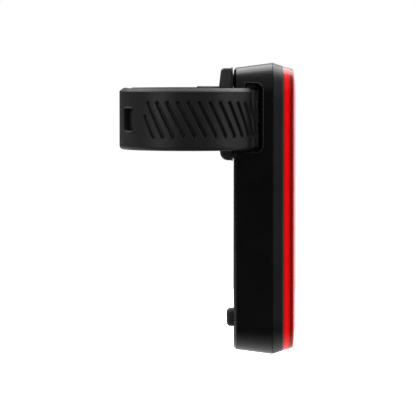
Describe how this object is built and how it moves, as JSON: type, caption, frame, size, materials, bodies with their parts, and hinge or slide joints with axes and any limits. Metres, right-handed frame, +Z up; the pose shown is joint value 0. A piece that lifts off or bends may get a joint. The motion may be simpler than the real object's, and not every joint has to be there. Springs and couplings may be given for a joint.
{
  "type": "bicycle rear light",
  "caption": "Long oval red rear lamp for a bicycle, with a rubber strap threaded through its housing to clamp on a round seat post, a rear button and a covered charging port.",
  "frame": {"origin": "on the seat post's axis, level with the middle of the strap and saddle pad", "axes": "+X to the rear of the bicycle, out of the lens; +Y to the lamp's far flank; +Z up the seat post"},
  "size_m": [0.0613, 0.0488, 0.1016],
  "materials": {
    "housing_plastic": "satin black",
    "bezel_plastic": "satin black",
    "gasket_rubber": "matt black",
    "lens_red": "clear red, polished",
    "screw_steel": "plain",
    "insert_brass": "plain",
    "board_green": "solder mask",
    "led_white": "clear",
    "tray_white": "white",
    "guide_clear": "clear",
    "battery_wrap": "foil wrap",
    "foam_grey": "foam",
    "lead_red": "insulated wire",
    "component_black": "moulded",
    "socket_steel": "plated",
    "switch_black": "moulded",
    "button_rubber": "matt black",
    "stem_plastic": "moulded",
    "cover_rubber": "matt black",
    "plate_plastic": "black",
    "pad_rubber": "matt black",
    "strap_rubber": "matt black, grooved"
  },
  "bodies": {
    "lamp": {"rear_housing": "housing_plastic", "front_bezel": "bezel_plastic", "housing_gasket": "gasket_rubber", "lens": "lens_red", "case_screws": "screw_steel", "threaded_inserts": "insert_brass", "led_board": "board_green", "leds": "led_white", "reflector_tray": "tray_white", "light_guide": "guide_clear", "battery_cell": "battery_wrap", "battery_foam": "foam_grey", "battery_leads": "lead_red", "board_components": "component_black", "usb_socket": "socket_steel", "tact_switch": "switch_black", "port_cover_anchor": "cover_rubber", "saddle_plate": "plate_plastic", "plate_screws": "screw_steel", "saddle_pad": "pad_rubber", "strap_far_arm": "strap_rubber"},
    "strap_arm": {"strap_near_arm": "strap_rubber"},
    "button": {"power_button": "button_rubber", "button_stem": "stem_plastic"},
    "flap": {"port_cover": "cover_rubber"}
  },
  "joints": [
    {"name": "strap_peel", "type": "hinge", "parent": "lamp", "child": "strap_arm", "pos_m": [0.02494, -0.01164, 0], "axis": [0, 0, 1], "range_deg": [0, 85], "stiffness_Nm_per_rad": 0.01},
    {"name": "button_press", "type": "slide", "parent": "lamp", "child": "button", "axis": [1, 0, 0], "range_m": [0, 0.0005], "stiffness_N_per_m": 600},
    {"name": "port_cover_hinge", "type": "hinge", "parent": "lamp", "child": "flap", "pos_m": [0.0189, 0, -0.0542], "axis": [0, 1, 0], "range_deg": [0, 110], "stiffness_Nm_per_rad": 0.0002}
  ]
}
